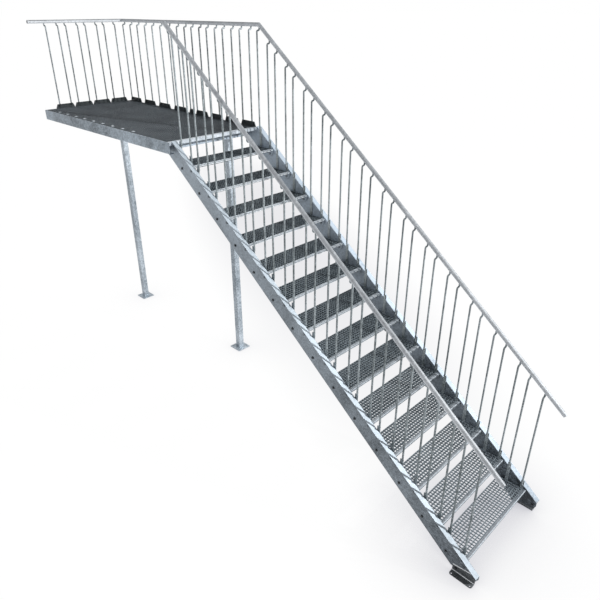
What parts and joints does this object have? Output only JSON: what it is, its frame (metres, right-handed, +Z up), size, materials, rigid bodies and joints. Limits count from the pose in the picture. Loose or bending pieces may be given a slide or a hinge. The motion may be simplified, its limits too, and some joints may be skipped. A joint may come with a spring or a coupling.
{
  "type": "metal staircase",
  "caption": "Straight galvanised steel staircase with grating treads, side railings with round balusters, and a railed landing on two posts, fixed beside a wall.",
  "frame": {"origin": "middle of the bounding box, on the floor", "axes": "+X runs down the flight from the landing to the foot, +Y points to the open side away from the wall, +Z is up"},
  "size_m": [6.4086, 1.2372, 3.9384],
  "materials": {
    "galvanised_plate": "hot-dip galvanised with visible spangle",
    "galvanised_grating": "hot-dip galvanised grating",
    "galvanised_bar": "hot-dip galvanised round bar",
    "galvanised_tube": "smooth galvanised tube",
    "galvanised_post": "hot-dip galvanised square tube"
  },
  "bodies": {
    "root": {"open_side_stringer": "galvanised_plate", "wall_side_stringer": "galvanised_plate", "open_side_foot_bracket": "galvanised_plate", "wall_side_foot_bracket": "galvanised_plate", "landing_wall_edge": "galvanised_plate", "landing_end_edge": "galvanised_plate", "landing_back_edge": "galvanised_plate", "landing_nosing": "galvanised_plate", "landing_crossbeams": "galvanised_plate", "stringer_cleats": "galvanised_plate", "tread_01": "galvanised_grating", "tread_02": "galvanised_grating", "tread_03": "galvanised_grating", "tread_04": "galvanised_grating", "tread_05": "galvanised_grating", "tread_06": "galvanised_grating", "tread_07": "galvanised_grating", "tread_08": "galvanised_grating", "tread_09": "galvanised_grating", "tread_10": "galvanised_grating", "tread_11": "galvanised_grating", "tread_12": "galvanised_grating", "tread_13": "galvanised_grating", "tread_14": "galvanised_grating", "deck_panel_1": "galvanised_grating", "deck_panel_2": "galvanised_grating", "deck_panel_3": "galvanised_grating", "open_side_balusters": "galvanised_bar", "wall_side_balusters": "galvanised_bar", "back_balusters": "galvanised_bar", "end_balusters": "galvanised_bar", "open_side_handrail": "galvanised_tube", "wall_side_handrail": "galvanised_tube", "back_handrail": "galvanised_tube", "end_handrail": "galvanised_tube", "end_post": "galvanised_post", "flight_post": "galvanised_post", "end_post_base": "galvanised_post", "flight_post_base": "galvanised_post"}
  },
  "joints": []
}
